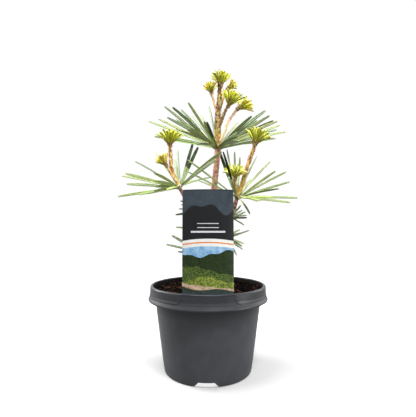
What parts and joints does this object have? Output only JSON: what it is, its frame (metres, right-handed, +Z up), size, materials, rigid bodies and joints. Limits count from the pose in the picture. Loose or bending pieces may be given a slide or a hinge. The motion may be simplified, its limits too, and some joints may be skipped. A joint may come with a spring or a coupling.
{
  "type": "potted umbrella pine",
  "caption": "Young umbrella pine with whorls of long needles and yellow-green shoot tufts, in a round rimmed nursery pot of soil with a plain plant label.",
  "frame": {"origin": "centre of the pot's flat underside, on the pot's axis", "axes": "+Z up along the pot's axis to the top of the tree; the label stands at the front, towards -Y; +X to the right seen from the front"},
  "size_m": [0.2618, 0.1985, 0.4356],
  "materials": {
    "pot_plastic": "moulded, satin",
    "potting_soil": "rough, moist",
    "label_card": "printed film, satin",
    "stem_bark": "fine bark",
    "shoot_bark": "young bark with scale leaves",
    "long_needles": "waxy leaf",
    "young_needles": "waxy young leaf"
  },
  "bodies": {
    "root": {"pot": "pot_plastic", "soil": "potting_soil", "plant_label": "label_card", "trunk": "stem_bark", "bough_left": "stem_bark", "bough_right": "stem_bark", "twig_low_right": "stem_bark", "shoot_upper_left": "shoot_bark", "shoot_back_right": "shoot_bark", "shoot_right_upper": "shoot_bark", "shoot_right_lower": "shoot_bark", "shoot_left_small": "shoot_bark", "shoot_right_small": "shoot_bark", "whorl_main": "long_needles", "whorl_left": "long_needles", "whorl_right": "long_needles", "whorl_old_high": "long_needles", "whorl_old_middle": "long_needles", "whorl_old_low": "long_needles", "whorl_bough_right": "long_needles", "whorl_twig_low_right": "long_needles", "tuft_top": "young_needles", "tuft_upper_left": "young_needles", "tuft_back_right": "young_needles", "tuft_right_upper": "young_needles", "tuft_right_lower": "young_needles", "tuft_left": "young_needles", "tuft_left_small": "young_needles", "tuft_right": "young_needles", "tuft_right_small": "young_needles"}
  },
  "joints": []
}
